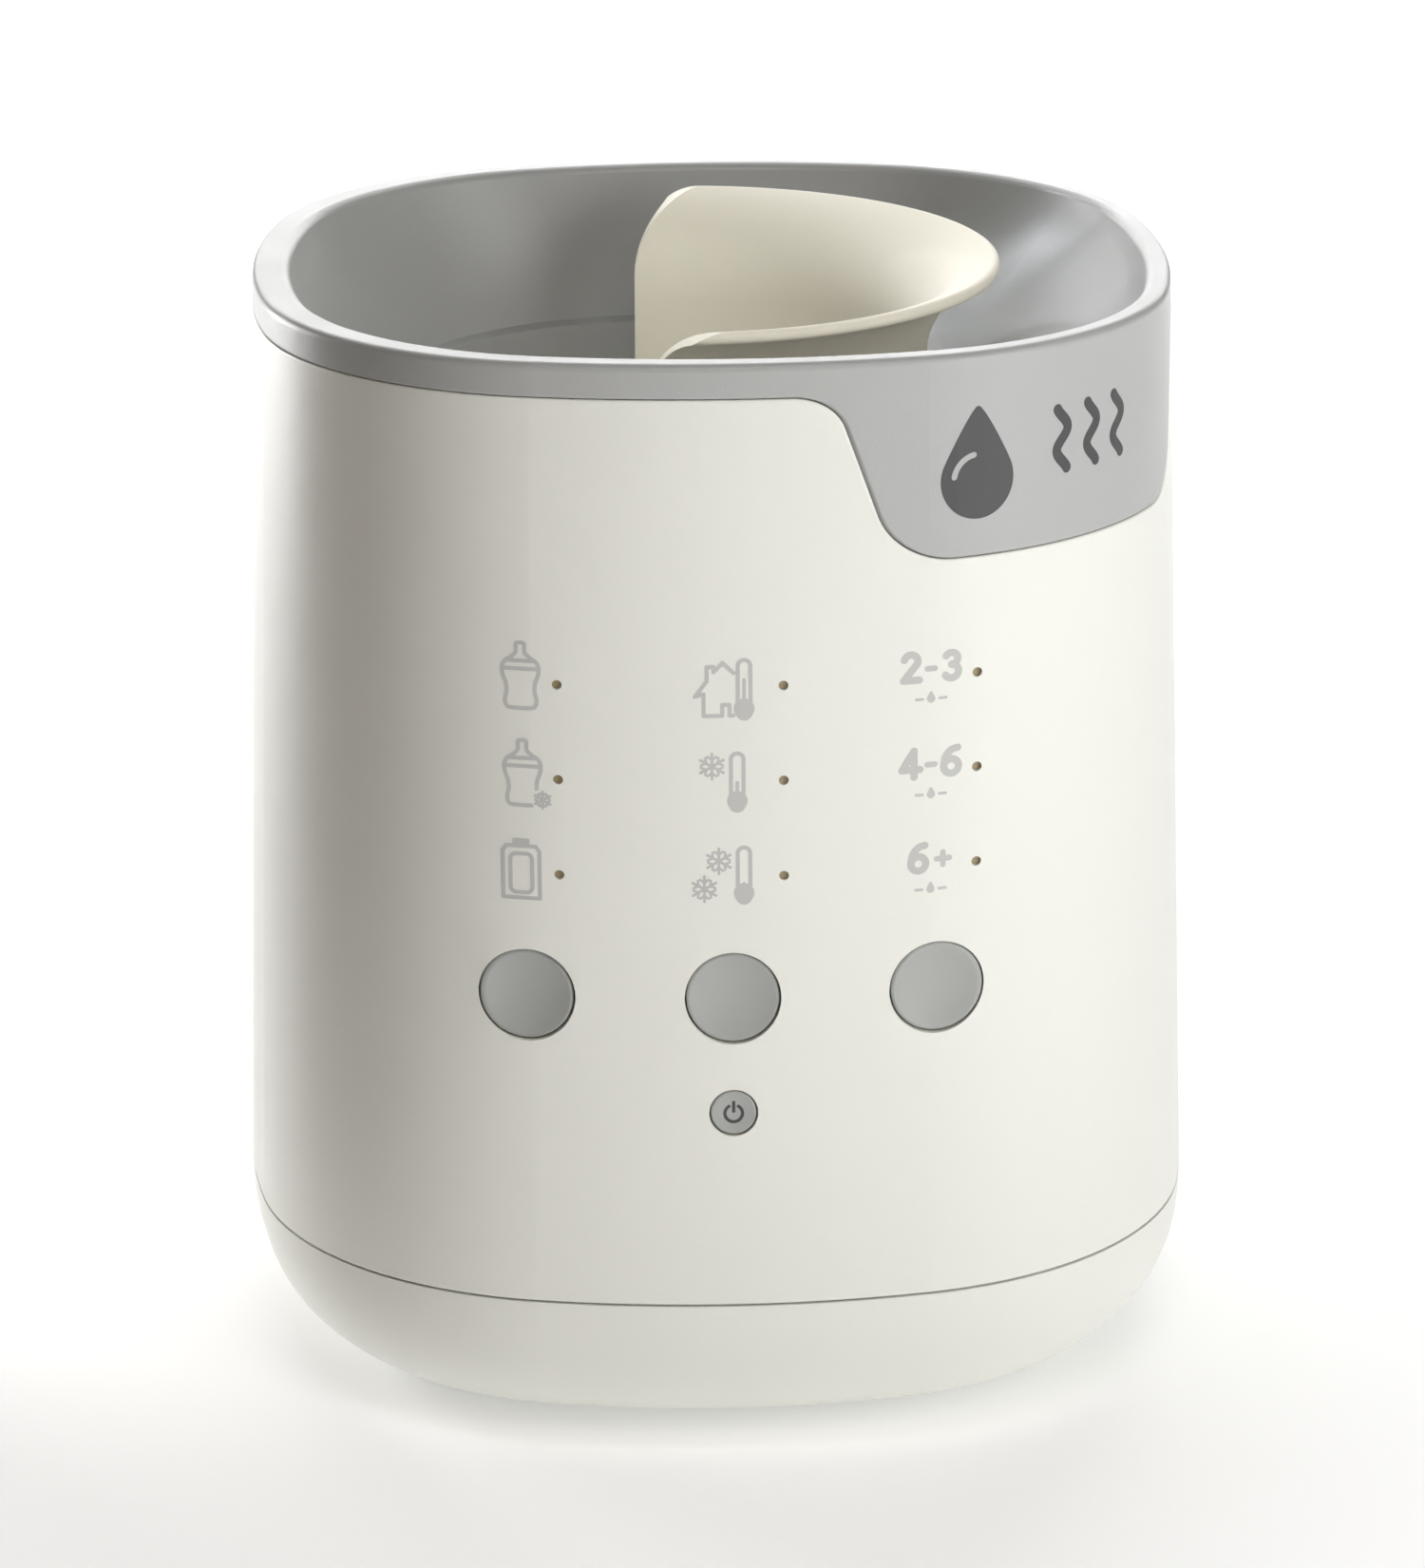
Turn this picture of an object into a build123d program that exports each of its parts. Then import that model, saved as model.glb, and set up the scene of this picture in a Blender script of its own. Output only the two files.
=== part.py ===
"""Counter-top bottle warmer: every physical piece as its own named STEP solid.

Millimetres. The origin is on the floor under the centre of the body, the front faces -Y,
+X is to the right of someone who faces the buttons, and +Z is up.
"""
from build123d import *
import math
import os

# Body: a rounded oblong of eight tangent arcs that widens towards its parting line.
RIM_Z = 175.3
PARTING_Z = 27.0
RIM_HALF_X = 72.2
RIM_HALF_Y = 70.3
SIDE_RADIUS = 140.0
CORNER_RADIUS = 52.0
FLARE = 4.0
TAPER = math.degrees(math.atan(FLARE / (RIM_Z - PARTING_Z)))
WALL = 2.8
GROOVE = 0.3

# Base bowl and feet.
FLOOR_Z = 1.5
BOWL_RADIUS = 24.0
BASE_WALL = 2.5
FLOOR_TOP_Z = FLOOR_Z + BASE_WALL
UPSTAND_H = 3.5
UPSTAND_WALL = 1.65
POST_RADIUS = 4.5
POST_TOP_Z = PARTING_Z + 0.9
FOOT_RADIUS = 7.0
FOOT_SINK = 0.8
FOOT_AT = (40.0, 33.0)
VENT_SIZE = (24.0, 2.2)
VENT_PITCH = 5.0
VENT_X = (-18.0, 18.0)

# Grey tank moulding: rim band, hanging tab, funnel, ledge and well.
BAND_H = 5.2
BAND_Z = RIM_Z - BAND_H
TAB_BOTTOM_Z = 144.2
TAB_CENTRE = -2.0
TAB_HALF_BOTTOM = 28.9
TAB_HALF_TOP = 35.9
TAB_THICK = 1.5
SEAM = 0.15
RIM_ROUND = 1.2
RIM_INNER_ROUND = 1.5
EDGE_ROUND = 0.35
TANK_WALL = 2.4
LEDGE_Z = 150.8
TANK_FLOOR_Z = 44.0
TANK_UNDER_Z = TANK_FLOOR_Z - TANK_WALL
WELL_X = -5.0
WELL_FLOOR_ROUND = 6.0
# Height, left wall, right wall, half depth, side radius and corner radius of the tank's sections.
FUNNEL_SECTIONS = [
    (RIM_Z + 0.01, -66.7, 68.7, 65.6, 132.0, 47.0),
    (167.0, -63.0, 63.2, 63.4, 116.0, 46.0),
    (158.5, -58.6, 54.0, 61.4, 92.0, 45.0),
    (LEDGE_Z, -55.0, 45.0, 60.0, 80.0, 44.0),
]
WELL_SECTIONS = [
    (LEDGE_Z, -52.0, 42.0, 55.5, 78.0, 41.0),
    (TANK_FLOOR_Z, WELL_X - 44.5, WELL_X + 44.5, 50.0, 72.0, 39.0),
]

# Basket, open on the left.
BASKET_RADIUS = 39.3
BASKET_WALL = 2.0
BASKET_LEG = 6.0
LIP_RADIUS = 16.0
LIP_ANGLE = 80.0
LIP_CORNER = 13.0
BASKET_FLOOR_Z = 46.2
BASKET_FLOOR_THICK = 2.0
BASKET_REST_GAP = 0.2
BASKET_RING_H = 12.0
FLOOR_SLOT_WIDTH = 3.0
FLOOR_SLOT_PITCH = 8.0
FLOOR_SLOT_REACH = 30.0
WINDOW_WIDTH = 6.0
WINDOW_Z = (72.0, 128.0)
WINDOW_AT = (-66, -22, 22, 66)
STAND_RADIUS = 1.4
STAND_AT = 37.6

# Controls on the front wall.
MODE_BUTTON_X = (-31.25, 0.0, 31.25)
MODE_BUTTON_Z = 76.9
MODE_BUTTON_RADIUS = 7.1
POWER_BUTTON_Z = 58.5
POWER_BUTTON_RADIUS = 3.5
BUTTON_GAP = 0.25
BUTTON_SUNK = 0.5
BUTTON_EDGE_ROUND = 0.45
BUTTON_DISH = 0.9
BUTTON_BACK_Y = -64.3
BUTTON_STEM_RADIUS = 2.0
RETAINER_THICK = 1.2
RETAINER_REACH = 1.8
PINHOLE_X = (-26.1, 7.8, 37.3)
PINHOLE_Z = (126.1, 111.3, 96.3)
PINHOLE_RADIUS = 0.75
BOARD_FRONT_Y = -60.4
BOARD_THICK = 1.6
SWITCH_H = 1.9
SWITCH_SIZE = 6.0
PLUNGER_Y = -63.3
PLUNGER_RADIUS = 1.2
LED_SIZE = (2.0, 1.2)
LED_H = 0.9
CHIP_H = 1.4
GUIDE_Y = (BOARD_FRONT_Y - SWITCH_H, BOARD_FRONT_Y - 1.3)
BOARD_X = (-41.0, 41.0)
BOARD_Z = (50.0, 136.0)
BOARD_SCREW_AT = [(-36.0, 56.0), (36.0, 56.0), (-36.0, 132.0), (26.0, 132.0)]
BOARD_SCREW_RADIUS = 1.05
BOARD_SCREW_HEAD = 2.3
PILOT_RADIUS = BOARD_SCREW_RADIUS + 0.05

# Heater stack under the tank floor, all round the well's axis.
PLATE_TOP_Z = 40.0
PLATE_THICK = 3.0
PLATE_UNDER_Z = PLATE_TOP_Z - PLATE_THICK
PLATE_RADIUS = 39.0
FLOOR_HOLE_RADIUS = 34.0
CLAMP_THICK = 1.5
CLAMP_RADIUS = 41.5
CLAMP_EAR_AT = 45.5
CLAMP_EAR_RADIUS = 3.6
CLAMP_BOSS_RADIUS = 3.4
CLAMP_SCREW_RADIUS = 1.25
ELEMENT_RADIUS = 26.0
ELEMENT_TUBE = 3.3
ELEMENT_PIN_ANGLE = 23.0
ELEMENT_PIN_DROP = 7.5
STRAP_THICK = 0.6
TOUCH_GAP = 0.05
FUSE_Y = 13.0
BODY_SCREW_RADIUS = 1.55
BODY_SCREW_HEAD_Z = 12.0
BODY_SCREW_AT = [(WELL_X + side_x * 22.0, side_y * 43.0) for side_x in (-1, 1) for side_y in (-1, 1)]

# Power board in the base.
POWER_BOARD_Z = 12.0
POWER_BOARD_TOP = POWER_BOARD_Z + BOARD_THICK
POWER_BOARD_SIZE = (46.0, 62.0)
POWER_POST_AT = [(WELL_X + side_x * 19.0, side_y * 27.0) for side_x in (-1, 1) for side_y in (-1, 1)]

# Cord inlet in the rear wall.
INLET_Z = 40.0
INLET_BORE = 3.6
INLET_RADIUS = 7.0
INLET_Y = (60.0, 73.0)
INLET_FLANGE_Y = (67.0, 69.5)


# ---------------------------------------------------------------- shared shapes
def corner_centre(half_x, half_y, side_r, corner_r):
    """Centre of the corner arc that is tangent to the two long side arcs."""
    side_x = half_x - side_r
    front_y = half_y - side_r
    half_span = math.hypot(side_x, front_y) / 2
    reach = math.sqrt((side_r - corner_r) ** 2 - half_span**2)
    corner_x = side_x / 2 + reach * abs(front_y) / (2 * half_span)
    corner_y = front_y / 2 + reach * abs(side_x) / (2 * half_span)
    return corner_x, corner_y


def oblong(half_x, half_y, side_r, corner_r):
    """Face bounded by eight tangent arcs: four long sides and four corners."""
    side_x = half_x - side_r
    front_y = half_y - side_r
    corner_x, corner_y = corner_centre(half_x, half_y, side_r, corner_r)
    turn = math.degrees(math.atan2(corner_y, corner_x - side_x))
    stop = math.degrees(math.atan2(corner_y - front_y, corner_x))
    arcs = [
        CenterArc((side_x, 0), side_r, -turn, 2 * turn),
        CenterArc((corner_x, corner_y), corner_r, turn, stop - turn),
        CenterArc((0, front_y), side_r, stop, 180 - 2 * stop),
        CenterArc((-corner_x, corner_y), corner_r, 180 - stop, stop - turn),
        CenterArc((-side_x, 0), side_r, 180 - turn, 2 * turn),
        CenterArc((-corner_x, -corner_y), corner_r, 180 + turn, stop - turn),
        CenterArc((0, -front_y), side_r, 180 + stop, 180 - 2 * stop),
        CenterArc((corner_x, -corner_y), corner_r, 360 - stop, stop - turn),
    ]
    return make_face(Wire(arcs))


def body_growth(z, inset=0.0):
    """How far the body's outline at height z stands outside its outline at the rim."""
    return FLARE * (RIM_Z - z) / (RIM_Z - PARTING_Z) - inset


def body_section(z, inset=0.0):
    """The body's outline at height z, set in by inset."""
    grow = body_growth(z, inset)
    face = oblong(RIM_HALF_X + grow, RIM_HALF_Y + grow, SIDE_RADIUS + grow, CORNER_RADIUS + grow)
    return Pos(0, 0, z) * face


def body_solid(low, high, inset=0.0):
    """The tapered body between two heights, set in by inset."""
    return extrude(body_section(low, inset), high - low, taper=TAPER)


def front_surface(x, z):
    """Y of the body's front surface, and the angle its outward normal turns from -Y."""
    corner_x, corner_y = corner_centre(RIM_HALF_X, RIM_HALF_Y, SIDE_RADIUS, CORNER_RADIUS)
    centre_x, centre_y, radius = 0.0, SIDE_RADIUS - RIM_HALF_Y, SIDE_RADIUS + body_growth(z)
    tangent_x = corner_x * radius / (SIDE_RADIUS - CORNER_RADIUS)
    if abs(x) > tangent_x:
        centre_x = math.copysign(corner_x, x)
        centre_y = -corner_y
        radius = CORNER_RADIUS + body_growth(z)
    y = centre_y - math.sqrt(radius**2 - (x - centre_x) ** 2)
    return y, math.degrees(math.asin((x - centre_x) / radius))


def rod_z(x, y, low, high, radius):
    """Upright cylinder between two heights."""
    return Pos(x, y, (low + high) / 2) * Cylinder(radius, high - low)


def rod_y(x, z, low, high, radius):
    """Cylinder along Y between two depths."""
    return Pos(x, (low + high) / 2, z) * Rot(90, 0, 0) * Cylinder(radius, high - low)


def block(x, y, z):
    """Box given by its low and high coordinate on each axis."""
    centre = ((x[0] + x[1]) / 2, (y[0] + y[1]) / 2, (z[0] + z[1]) / 2)
    return Pos(*centre) * Box(x[1] - x[0], y[1] - y[0], z[1] - z[0])


def screw(head_z, tip_z, shank, head, head_h):
    """Upright screw with a cross recess, its head at the bottom."""
    body = rod_z(0, 0, head_z, head_z + head_h, head) + rod_z(0, 0, head_z + head_h, tip_z, shank)
    arm = head * 1.1
    recess = Pos(0, 0, head_z) * (Box(arm, 0.6, 1.2) + Box(0.6, arm, 1.2))
    return body - recess


def outer_edges(solid, low, high):
    """Edges of a body part that lie on the body's outer surface between two heights, seams left out."""
    core = body_solid(PARTING_Z - 5, RIM_Z + 1, 0.3).solids()[0]
    curved = solid.edges().filter_by(lambda e: e.geom_type != GeomType.LINE)
    return curved.filter_by(lambda e: low < (e @ 0.5).Z < high and not core.is_inside(e @ 0.5))


# ---------------------------------------------------------------- casing and tank
def collar_region(gap=0.0):
    """Space that the rim band and its hanging tab take, as a prism across the front right corner."""
    left = TAB_CENTRE - TAB_HALF_TOP - gap
    right = TAB_CENTRE + TAB_HALF_TOP + gap
    bottom_left = TAB_CENTRE - TAB_HALF_BOTTOM - gap
    bottom_right = TAB_CENTRE + TAB_HALF_BOTTOM + gap
    band = BAND_Z - gap
    reach = 120.0
    points = [(-reach, band), (left, band), (bottom_left, TAB_BOTTOM_Z - gap)]
    points += [(bottom_right, TAB_BOTTOM_Z - gap), (right, band), (reach, band)]
    edge = FilletPolyline(*points, radius=[6.5, 10.0, 10.0, 6.5])
    lid = Polyline((reach, band), (reach, RIM_Z + 10), (-reach, RIM_Z + 10), (-reach, band))
    across = Plane(origin=(0, 0, 0), x_dir=(1, 1, 0), z_dir=(1, -1, 0))
    tab = extrude(across * make_face(edge.edges() + lid.edges()), reach)
    slab = block((-reach, reach), (-reach, reach), (band, RIM_Z + 10))
    return tab + slab


def tank_section(section, grow):
    """Outline of the tank at one section, with its walls moved out by grow and its height down."""
    z, left, right, half_y, side_r, corner_r = section
    half_x = (right - left) / 2
    face = oblong(half_x + grow, half_y + grow, side_r + grow, corner_r + grow)
    drop = grow if z < RIM_Z else 0.0
    return Pos((left + right) / 2, 0, z - drop) * face


def tank_space(grow=0.0):
    """The tank's hollow, or its outer skin when grow is a wall's thickness."""
    funnel = loft([tank_section(section, grow) for section in FUNNEL_SECTIONS])
    well = loft([tank_section(section, grow) for section in WELL_SECTIONS])
    return funnel + fillet(well.faces().sort_by(Axis.Z)[0].edges(), WELL_FLOOR_ROUND)


def make_water_tank():
    """Grey moulding: rim band and tab outside, funnel with a scoop on the right, ledge and well."""
    collar = body_solid(PARTING_Z, RIM_Z) & collar_region()
    collar -= body_solid(PARTING_Z, BAND_Z, TAB_THICK)
    collar = fillet(collar.faces().sort_by(Axis.Z)[-1].edges(), RIM_ROUND)
    low_edges = outer_edges(collar, PARTING_Z, BAND_Z + 0.3)
    collar = fillet(low_edges.filter_by(lambda e: e.bounding_box().size.Z > 0.01), EDGE_ROUND)
    skin = tank_space(TANK_WALL) & body_solid(PARTING_Z, RIM_Z, WALL + 0.3)
    tank = collar + skin - tank_space()
    rim_face = tank.faces().sort_by(Axis.Z)[-1]
    tank = fillet(rim_face.inner_wires()[0].edges(), RIM_INNER_ROUND)
    tank -= rod_z(WELL_X, 0, TANK_FLOOR_Z - 10, TANK_FLOOR_Z + 1, FLOOR_HOLE_RADIUS)
    for x, y in BODY_SCREW_AT:
        post = rod_z(x, y, POST_TOP_Z + 0.3, TANK_UNDER_Z + 0.1, POST_RADIUS)
        tank += post - rod_z(x, y, 0, TANK_FLOOR_Z - 4.0, BODY_SCREW_RADIUS + 0.05)
    for turn in range(4):
        boss = rod_z(CLAMP_EAR_AT, 0, PLATE_UNDER_Z, TANK_UNDER_Z + 0.1, CLAMP_BOSS_RADIUS)
        boss -= rod_z(CLAMP_EAR_AT, 0, 0, TANK_UNDER_Z - 0.1, CLAMP_SCREW_RADIUS + 0.05)
        tank += Pos(WELL_X, 0, 0) * Rot(0, 0, 90 * turn) * boss
    return tank


def make_outer_casing():
    """White tapered shell with a rebate for the grey tab, and holes for the buttons and lights."""
    low = PARTING_Z + GROOVE / 2
    shell = body_solid(low, BAND_Z - SEAM) - body_solid(low - 1, BAND_Z + 1, WALL)
    rebate = collar_region(SEAM) - body_solid(PARTING_Z, RIM_Z, TAB_THICK + SEAM)
    shell -= rebate
    shell = fillet(outer_edges(shell, PARTING_Z, RIM_Z), EDGE_ROUND)
    for x, z in BOARD_SCREW_AT:
        boss = rod_y(x, z, -90, BOARD_FRONT_Y, 3.0) & body_solid(PARTING_Z + 1, BAND_Z, 1.0)
        shell += boss - rod_y(x, z, BOARD_FRONT_Y - 3.0, BOARD_FRONT_Y + 1, PILOT_RADIUS)
    for x in MODE_BUTTON_X:
        shell -= rod_y(x, MODE_BUTTON_Z, -90, -55, MODE_BUTTON_RADIUS + BUTTON_GAP)
    shell -= rod_y(0, POWER_BUTTON_Z, -90, -55, POWER_BUTTON_RADIUS + BUTTON_GAP)
    for x in PINHOLE_X:
        for z in PINHOLE_Z:
            shell -= rod_y(x, z, -90, -55, PINHOLE_RADIUS)
    shell -= rod_y(0, INLET_Z, 55, 90, INLET_RADIUS)
    return shell


def base_outline(inset, z):
    """The body's widest outline, set in by inset and moved to height z."""
    return Pos(0, 0, z - PARTING_Z) * body_section(PARTING_Z, inset)


def base_upstand(top):
    """Ring that stands inside the casing's foot and centres it on the bowl."""
    shoulder = 2.0
    outside = WALL + 0.25
    ring = extrude(base_outline(shoulder, top - shoulder), shoulder)
    ring += extrude(base_outline(outside, top), UPSTAND_H)
    hole = base_outline(outside + UPSTAND_WALL, top - shoulder)
    return ring - extrude(hole, shoulder + UPSTAND_H + 1)


def make_base_shell():
    """White bowl with an upstand inside the casing, screw posts, foot pockets and vents."""
    top = PARTING_Z - GROOVE / 2
    bowl = extrude(base_outline(0.0, top), FLOOR_Z - top)
    bowl = fillet(bowl.faces().sort_by(Axis.Z)[0].edges(), BOWL_RADIUS)
    hollow = extrude(base_outline(BASE_WALL, top + 0.01), FLOOR_TOP_Z - top - 0.01)
    bowl -= fillet(hollow.faces().sort_by(Axis.Z)[0].edges(), BOWL_RADIUS - BASE_WALL)
    bowl += base_upstand(top)
    for x, y in BODY_SCREW_AT:
        bowl += rod_z(x, y, FLOOR_TOP_Z - 0.5, POST_TOP_Z, POST_RADIUS)
        bowl -= rod_z(x, y, -1, BODY_SCREW_HEAD_Z + 2.0, 3.2)
        bowl -= rod_z(x, y, BODY_SCREW_HEAD_Z + 1.0, TANK_FLOOR_Z, BODY_SCREW_RADIUS + 0.25)
    for x, y in POWER_POST_AT:
        post = rod_z(x, y, FLOOR_TOP_Z - 0.5, POWER_BOARD_Z, 3.2)
        bowl += post - rod_z(x, y, FLOOR_TOP_Z + 1, TANK_FLOOR_Z, PILOT_RADIUS)
    for side_x in (-1, 1):
        for side_y in (-1, 1):
            bowl -= foot_pad(side_x, side_y, FOOT_RADIUS + 0.1)
    for row in range(-4, 5):
        for x in VENT_X:
            bowl -= extrude(Pos(x, row * VENT_PITCH, 0) * SlotOverall(*VENT_SIZE), FLOOR_TOP_Z + 1)
    return bowl


def foot_pad(side_x, side_y, radius):
    """Disc at one of the four feet's places, from the floor up into its pocket."""
    return rod_z(side_x * FOOT_AT[0], side_y * FOOT_AT[1], 0, FLOOR_Z + FOOT_SINK, radius)


def make_foot(side_x, side_y):
    """Rubber pad with a bevelled rim, pressed into its pocket."""
    pad = foot_pad(side_x, side_y, FOOT_RADIUS)
    return chamfer(pad.faces().sort_by(Axis.Z)[0].edges(), 0.5)


# ---------------------------------------------------------------- basket
def basket_profile():
    """Wall and outward-curled lip, in the half plane of radius and height."""
    inner = BASKET_RADIUS - BASKET_WALL
    lip_z = RIM_Z - LIP_RADIUS * math.sin(math.radians(LIP_ANGLE))
    centre = (inner + LIP_RADIUS, lip_z)
    face_arc = CenterArc(centre, LIP_RADIUS, 180 - LIP_ANGLE, LIP_ANGLE)
    back_arc = CenterArc(centre, LIP_RADIUS - BASKET_WALL, 180 - LIP_ANGLE, LIP_ANGLE)
    lines = [
        face_arc,
        back_arc,
        Line(face_arc @ 0, back_arc @ 0),
        Line((inner, BASKET_FLOOR_Z), (inner, lip_z)),
        Line((BASKET_RADIUS, BASKET_FLOOR_Z), (BASKET_RADIUS, lip_z)),
        Line((inner, BASKET_FLOOR_Z), (BASKET_RADIUS, BASKET_FLOOR_Z)),
    ]
    profile = make_face(Wire(lines))
    lip_corners = profile.vertices().sort_by(Axis.X)[-2:]
    return Plane.XZ * fillet(lip_corners, BASKET_WALL * 0.45)


def basket_wall():
    """Half-round wall with straight legs, its top corners rounded at the open side."""
    profile = basket_profile()
    wall = Rot(0, 0, -90) * revolve(profile, Axis.Z, 180)
    for turn in (90, -90):
        wall += extrude(Rot(0, 0, turn) * profile, BASKET_LEG, dir=(-1, 0, 0))
    reach = 80.0
    corner_x, corner_z = LIP_CORNER - BASKET_LEG, RIM_Z - LIP_CORNER
    cut = block((-BASKET_LEG - 1, corner_x), (-reach, reach), (corner_z, RIM_Z + 1))
    return wall - (cut - rod_y(corner_x, corner_z, -reach, reach, LIP_CORNER))


def basket_foot():
    """Low ring and slotted floor, on four small stands."""
    inner = BASKET_RADIUS - BASKET_WALL
    ring_top = BASKET_FLOOR_Z + BASKET_RING_H
    foot = rod_z(0, 0, BASKET_FLOOR_Z, ring_top, BASKET_RADIUS) - rod_z(0, 0, 0, ring_top + 1, inner)
    foot += rod_z(0, 0, BASKET_FLOOR_Z, BASKET_FLOOR_Z + BASKET_FLOOR_THICK, BASKET_RADIUS - 0.5)
    for row in range(-3, 4):
        offset = row * FLOOR_SLOT_PITCH
        slot = SlotOverall(2 * math.sqrt(FLOOR_SLOT_REACH**2 - offset**2), FLOOR_SLOT_WIDTH)
        foot -= extrude(Pos(0, offset, BASKET_FLOOR_Z - 1) * slot, BASKET_FLOOR_THICK + 2)
    for angle in (45, 135, 225, 315):
        stand = rod_z(STAND_AT, 0, TANK_FLOOR_Z + BASKET_REST_GAP, BASKET_FLOOR_Z + 0.5, STAND_RADIUS)
        foot += Rot(0, 0, angle) * stand
    return foot


def make_basket():
    """C-shaped basket with a curled lip and four water windows, closed by a ring at its foot."""
    basket = basket_wall() + basket_foot()
    half = WINDOW_WIDTH / 2
    window = block((BASKET_RADIUS - 9, BASKET_RADIUS + 6), (-half, half), WINDOW_Z)
    window = fillet(window.edges().filter_by(Axis.X), half - 0.1)
    for angle in WINDOW_AT:
        basket -= Rot(0, 0, angle) * window
    return Pos(WELL_X, 0, 0) * basket


# ---------------------------------------------------------------- buttons
def button_plane(x, z, sunk):
    """Plane of a button's face, square to the body's front surface and sunk below it."""
    y, turn = front_surface(x, z)
    angle, lean = math.radians(turn), math.atan(front_surface(x, z + 1)[0] - y)
    out = Vector(math.sin(angle) * math.cos(lean), -math.cos(angle) * math.cos(lean), math.sin(lean))
    return Plane(origin=Vector(x, y, z) - out * sunk, z_dir=out)


def button_cap(x, z, back, radius, sunk, edge_round, depth):
    """Round cap with a rounded edge and a face that is dished from edge to edge."""
    face = button_plane(x, z, sunk)
    cap = rod_y(x, z, -90, back, radius) - face * Pos(0, 0, 15) * Box(60, 60, 30)
    cap = fillet(cap.edges().filter_by(GeomType.ELLIPSE), edge_round)
    reach = radius - edge_round
    ball = (reach**2 + depth**2) / (2 * depth)
    return cap - face * Pos(0, 0, ball - depth) * Rot(90, 0, 0) * Sphere(ball)


def make_mode_button(x):
    """Round dished cap, square to the body's front, with two retaining tabs and a stem."""
    z = MODE_BUTTON_Z
    tab_low = front_surface(abs(x) + 3.0, z)[0] + WALL + 0.5
    cap = button_cap(x, z, BUTTON_BACK_Y, MODE_BUTTON_RADIUS, BUTTON_SUNK, BUTTON_EDGE_ROUND, BUTTON_DISH)
    reach = MODE_BUTTON_RADIUS + RETAINER_REACH
    cap += block((x - 3, x + 3), (tab_low, tab_low + RETAINER_THICK), (z - reach, z + reach))
    return cap + rod_y(x, z, BUTTON_BACK_Y - 0.1, PLUNGER_Y, BUTTON_STEM_RADIUS)


def make_power_button():
    """Small round cap with a retaining flange and a stem."""
    y, z = front_surface(0, POWER_BUTTON_Z)[0], POWER_BUTTON_Z
    flange_y = y + WALL + 0.4
    cap = button_cap(0, z, flange_y + 0.1, POWER_BUTTON_RADIUS, 0.2, 0.3, 0.35)
    cap += rod_y(0, z, flange_y, flange_y + RETAINER_THICK, POWER_BUTTON_RADIUS + 1.5)
    return cap + rod_y(0, z, flange_y + 1.1, PLUNGER_Y, 1.6)


def make_plunger(x, z):
    """Switch plunger under a button's stem, running in the switch's pocket."""
    return rod_y(x, z, PLUNGER_Y, BOARD_FRONT_Y - 1.0, PLUNGER_RADIUS)


def switch_places():
    """The four switches' places across the board: three mode switches, then the power switch."""
    return [(x, MODE_BUTTON_Z) for x in MODE_BUTTON_X] + [(0.0, POWER_BUTTON_Z)]


def make_tact_switches():
    """Four square switch bodies with a pocket each for its plunger."""
    half = SWITCH_SIZE / 2
    switches = []
    for x, z in switch_places():
        body = block((x - half, x + half), (BOARD_FRONT_Y - SWITCH_H, BOARD_FRONT_Y), (z - half, z + half))
        switches.append(body - rod_y(x, z, BOARD_FRONT_Y - 5, BOARD_FRONT_Y - 0.15, PLUNGER_RADIUS + 0.3))
    return switches


# ---------------------------------------------------------------- control electronics
def make_control_board():
    """Upright board behind the front wall."""
    board = block(BOARD_X, (BOARD_FRONT_Y, BOARD_FRONT_Y + BOARD_THICK), BOARD_Z)
    for x, z in BOARD_SCREW_AT:
        board -= rod_y(x, z, -70, -50, 1.4)
    return board


def make_control_chips():
    """Controller and driver packages on the front of the board."""
    front = (BOARD_FRONT_Y - CHIP_H, BOARD_FRONT_Y)
    return [
        block((-12, -2), front, (86, 92)),
        block((14, 22), front, (86, 91)),
        block((-34, -28), front, (86, 90)),
    ]


def make_status_leds():
    """One small light emitting diode behind each pinhole."""
    front = (BOARD_FRONT_Y - LED_H, BOARD_FRONT_Y)
    half_x, half_z = LED_SIZE[0] / 2, LED_SIZE[1] / 2
    places = [(x, z) for x in PINHOLE_X for z in PINHOLE_Z]
    return [block((x - half_x, x + half_x), front, (z - half_z, z + half_z)) for x, z in places]


def make_light_guide():
    """Clear carrier with a light rod in each pinhole."""
    span_x = (PINHOLE_X[0] - 3, PINHOLE_X[-1] + 1.3)
    guide = block(span_x, GUIDE_Y, (PINHOLE_Z[-1] - 2.6, PINHOLE_Z[0] + 2.4))
    inside = body_solid(PARTING_Z, BAND_Z, 0.6)
    for x in PINHOLE_X:
        for z in PINHOLE_Z:
            guide += rod_y(x, z, -90, GUIDE_Y[0] + 0.1, PINHOLE_RADIUS - 0.05) & inside
    return guide


def make_control_screws():
    """Four screws that hold the control board to the casing's bosses."""
    screws = []
    for x, z in BOARD_SCREW_AT:
        tail = BOARD_FRONT_Y + BOARD_THICK
        body = rod_y(x, z, BOARD_FRONT_Y - 2.5, tail, BOARD_SCREW_RADIUS)
        body += rod_y(x, z, tail, tail + 1.2, BOARD_SCREW_HEAD)
        screws.append(body - block((x - 1.4, x + 1.4), (tail + 0.6, tail + 2), (z - 0.3, z + 0.3)))
    return screws


# ---------------------------------------------------------------- heater stack
def make_tank_seal():
    """Rubber ring between the tank floor and the heater plate."""
    ring = rod_z(WELL_X, 0, PLATE_TOP_Z, TANK_UNDER_Z, PLATE_RADIUS - 0.4)
    return ring - rod_z(WELL_X, 0, 0, 60, FLOOR_HOLE_RADIUS - 0.2)


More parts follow.
